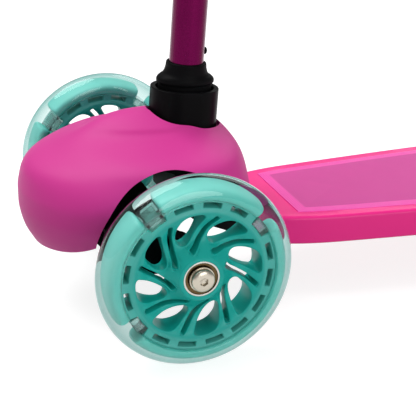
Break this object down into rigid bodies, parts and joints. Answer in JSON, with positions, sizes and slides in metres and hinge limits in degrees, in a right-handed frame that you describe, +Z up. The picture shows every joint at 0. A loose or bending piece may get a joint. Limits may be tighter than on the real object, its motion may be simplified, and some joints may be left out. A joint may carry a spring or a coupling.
{
  "type": "kick scooter",
  "caption": "Child's lean-to-steer kick scooter with two front wheels, one rear wheel, a low deck, foot brake and height-adjustable T-bar.",
  "frame": {"origin": "middle of the footprint on the ground, halfway between the cover's nose and the back of the brake blade", "axes": "-Y is the way it rolls, +X is the rider's left, +Z is up"},
  "size_m": [0.256, 0.5298, 0.6842],
  "materials": {
    "black_plastic": "satin black moulding",
    "cover_plastic": "satin pink moulding",
    "deck_plastic": "semi-gloss pink moulding",
    "pad_rubber": "finely textured grip pad",
    "steel": "zinc plated",
    "spring_steel": "oiled spring steel",
    "bush_rubber": "matt elastomer",
    "painted_tube": "glossy metallic magenta",
    "teal_plastic": "satin teal moulding",
    "clear_tyre": "clear cast elastomer",
    "light_unit": "clear potted light unit",
    "grip_rubber": "soft ribbed rubber",
    "fender_plastic": "satin black moulding"
  },
  "bodies": {
    "frame": {"steering_yoke": "black_plastic", "kingpins": "steel", "kingpin_nuts": "steel", "centring_bushes": "bush_rubber", "front_cover": "cover_plastic", "cover_screws": "steel", "deck": "deck_plastic", "grip_pad": "pad_rubber", "deck_screws": "steel", "stem_socket": "black_plastic", "stem_boot": "black_plastic", "stem_spigot": "steel", "stem_tube": "painted_tube", "snap_spring": "spring_steel", "clamp_collar": "black_plastic", "clamp_bolt": "steel", "clamp_pin": "steel", "rear_axle_bolt": "steel", "rear_axle_nut": "steel", "rear_washers": "steel", "rear_bearing_inner": "steel", "rear_axle_spacer": "steel", "brake_spring": "spring_steel", "brake_hinge_pin": "steel"},
    "carrier_left": {"knuckle_left": "black_plastic", "axle_bolt_left": "steel", "bearing_inner_left": "steel", "axle_spacer_left": "steel"},
    "carrier_right": {"knuckle_right": "black_plastic", "axle_bolt_right": "steel", "bearing_inner_right": "steel", "axle_spacer_right": "steel"},
    "tie_rod": {"tie_rod": "black_plastic"},
    "wheel_left": {"wheel_core_left": "teal_plastic", "wheel_tyre_left": "clear_tyre", "wheel_lights_left": "light_unit", "bearing_outer_left": "steel"},
    "wheel_right": {"wheel_core_right": "teal_plastic", "wheel_tyre_right": "clear_tyre", "wheel_lights_right": "light_unit", "bearing_outer_right": "steel"},
    "wheel_rear": {"rear_wheel_core": "teal_plastic", "rear_tyre": "clear_tyre", "rear_bearing_outer": "steel"},
    "brake": {"brake_fender": "fender_plastic", "brake_pad": "steel"},
    "t_bar": {"t_bar_tube": "painted_tube", "bar_tee": "black_plastic", "handlebar": "painted_tube", "grip_left": "grip_rubber", "grip_right": "grip_rubber"},
    "clamp_lever": {"clamp_lever": "black_plastic"},
    "snap_button": {"snap_button": "steel"}
  },
  "joints": [
    {"name": "lean_left", "type": "hinge", "parent": "frame", "child": "carrier_left", "pos_m": [0.043, -0.21224, 0.068], "axis": [0, -0.6428, 0.766], "range_deg": [-9, 9], "stiffness_Nm_per_rad": 30},
    {"name": "lean_right", "type": "hinge", "parent": "frame", "child": "carrier_right", "pos_m": [-0.043, -0.21224, 0.068], "axis": [0, -0.6428, 0.766], "range_deg": [-9, 9], "stiffness_Nm_per_rad": 30},
    {"name": "tie_rod_pivot", "type": "hinge", "parent": "carrier_left", "child": "tie_rod", "pos_m": [0.043, -0.19539, 0.08214], "axis": [0, -0.6428, 0.766], "range_deg": [-9, 9]},
    {"name": "wheel_left_spin", "type": "hinge", "parent": "carrier_left", "child": "wheel_left", "pos_m": [0.106, -0.18224, 0.06], "axis": [1, 0, 0], "continuous": true},
    {"name": "wheel_right_spin", "type": "hinge", "parent": "carrier_right", "child": "wheel_right", "pos_m": [-0.106, -0.18224, 0.06], "axis": [1, 0, 0], "continuous": true},
    {"name": "wheel_rear_spin", "type": "hinge", "parent": "frame", "child": "wheel_rear", "pos_m": [0, 0.21776, 0.04], "axis": [1, 0, 0], "continuous": true},
    {"name": "brake_press", "type": "hinge", "parent": "frame", "child": "brake", "pos_m": [0, 0.16776, 0.064], "axis": [-1, 0, 0], "range_deg": [0, 3.6], "stiffness_Nm_per_rad": 2, "springref_deg": -6.88},
    {"name": "bar_height", "type": "slide", "parent": "frame", "child": "t_bar", "axis": [0, 0.0523, 0.9986], "range_m": [-0.08, 0.06]},
    {"name": "clamp_lever_swing", "type": "hinge", "parent": "frame", "child": "clamp_lever", "pos_m": [0.0125, -0.15907, 0.45861], "axis": [0, -0.0523, -0.9986], "range_deg": [0, 120]},
    {"name": "snap_button_press", "type": "slide", "parent": "frame", "child": "snap_button", "axis": [0, -0.9986, 0.0523], "range_m": [0, 0.0024], "stiffness_N_per_m": 800, "springref_m": -0.002, "deforming": ["snap_spring"]}
  ],
  "couplings": [
    {"joint": "lean_right", "follows": "lean_left", "ratio": 1},
    {"joint": "tie_rod_pivot", "follows": "lean_left", "ratio": -1}
  ]
}
